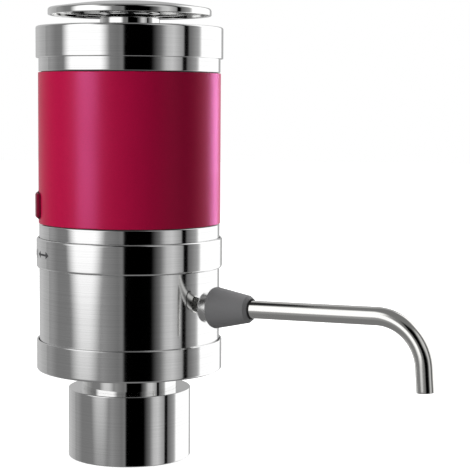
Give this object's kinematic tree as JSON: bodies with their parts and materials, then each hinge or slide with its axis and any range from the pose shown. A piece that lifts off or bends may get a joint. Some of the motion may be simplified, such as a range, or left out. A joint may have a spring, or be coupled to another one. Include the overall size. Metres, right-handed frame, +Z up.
{
  "type": "wine preservation dispenser",
  "caption": "Battery powered dispenser that stands on a wine bottle, pumps air in under a silicone stopper and pours through a bent swivel spout on a round steel body.",
  "frame": {"origin": "middle of the flat underside of the silicone stopper, where the bottle's lip seats; the adapter's skirt hangs below it", "axes": "+Z up along the body's axis, +X along the spout, the power button on the far side at 217 degrees about +Z"},
  "size_m": [0.1714, 0.075, 0.1836],
  "materials": {
    "brushed_steel": "brushed round the body",
    "polished_steel": "polished",
    "zinc_steel": "zinc plated",
    "motor_steel": "zinc plated can",
    "crimson_lacquer": "satin metallic lacquer",
    "dark_red_plastic": "semi-gloss",
    "grey_plastic": "matte",
    "black_plastic": "matte",
    "white_plastic": "matte",
    "clear_silicone": "translucent silicone",
    "black_rubber": "matte",
    "brass": "plated contact",
    "cell_wrap": "printed film",
    "board_green": "solder mask"
  },
  "bodies": {
    "body": {"bottle_adapter": "brushed_steel", "silicone_stopper": "clear_silicone", "wine_nipple": "polished_steel", "air_valve": "black_rubber", "neck_sleeve": "polished_steel", "neck_nut": "zinc_steel", "base_collar": "brushed_steel", "lower_housing": "brushed_steel", "bulkhead": "black_plastic", "joint_gasket": "black_rubber", "lower_band": "brushed_steel", "red_sleeve": "crimson_lacquer", "upper_band": "brushed_steel", "chassis_tube": "black_plastic", "battery_well": "black_plastic", "well_contact_1": "brass", "well_contact_6": "brass", "switch_body": "black_plastic", "circuit_board": "board_green", "motor_contact_1": "brass", "motor_contact_2": "brass", "motor_end_cap": "white_plastic", "motor_can": "motor_steel", "pump_frame": "black_plastic", "wobble_plate": "white_plastic", "diaphragm": "black_rubber", "valve_plate": "white_plastic", "pump_head": "black_plastic", "pump_deck": "black_plastic", "air_hose": "clear_silicone", "wine_hose": "clear_silicone", "spout_elbow": "white_plastic", "spout_boss": "polished_steel", "boss_nut": "zinc_steel"},
    "lock_ring": {"lock_ring": "brushed_steel"},
    "cartridge": {"battery_cartridge": "grey_plastic", "battery_cell_1": "cell_wrap", "battery_cell_2": "cell_wrap", "battery_cell_3": "cell_wrap", "battery_cell_4": "cell_wrap", "battery_cell_5": "cell_wrap", "battery_cell_6": "cell_wrap", "upper_strap_1": "brass", "upper_strap_2": "brass", "upper_strap_3": "brass", "lower_strap_1": "brass", "lower_strap_2": "brass", "cartridge_contact_1": "brass", "cartridge_contact_6": "brass"},
    "cap": {"battery_cap": "brushed_steel", "cap_gasket": "black_rubber", "cap_hub": "polished_steel", "ring_handle": "polished_steel", "pivot_screw": "zinc_steel"},
    "button": {"power_button": "dark_red_plastic"},
    "plunger": {"switch_plunger": "white_plastic"},
    "rotor": {"motor_shaft": "zinc_steel", "eccentric": "black_plastic"},
    "spout": {"spout_connector": "grey_plastic", "spout_pipe": "polished_steel"}
  },
  "joints": [
    {"name": "lock_ring_twist", "type": "hinge", "parent": "body", "child": "lock_ring", "pos_m": [0, 0, 0.0623], "axis": [0, 0, 1], "range_deg": [0, 30]},
    {"name": "cartridge_lift", "type": "slide", "parent": "body", "child": "cartridge", "axis": [0, 0, 1], "range_m": [0, 0.06]},
    {"name": "cap_twist", "type": "hinge", "parent": "cartridge", "child": "cap", "pos_m": [0, 0, 0.1514], "axis": [0, 0, 1], "range_deg": [0, 30]},
    {"name": "button_press", "type": "slide", "parent": "body", "child": "button", "axis": [0.7986, 0.6018, 0], "range_m": [0, 0.0008], "stiffness_N_per_m": 1000},
    {"name": "plunger_press", "type": "slide", "parent": "body", "child": "plunger", "axis": [0.7986, 0.6018, 0], "range_m": [0, 0.0008]},
    {"name": "motor_spin", "type": "hinge", "parent": "body", "child": "rotor", "pos_m": [-0.01, 0, 0.05], "axis": [0, 0, 1], "continuous": true},
    {"name": "spout_swivel", "type": "hinge", "parent": "body", "child": "spout", "pos_m": [0.04498, 0, 0.04236], "axis": [0.9996, 0, 0.0279], "range_deg": [-90, 90]}
  ],
  "couplings": [
    {"joint": "plunger_press", "follows": "button_press", "ratio": 1}
  ]
}
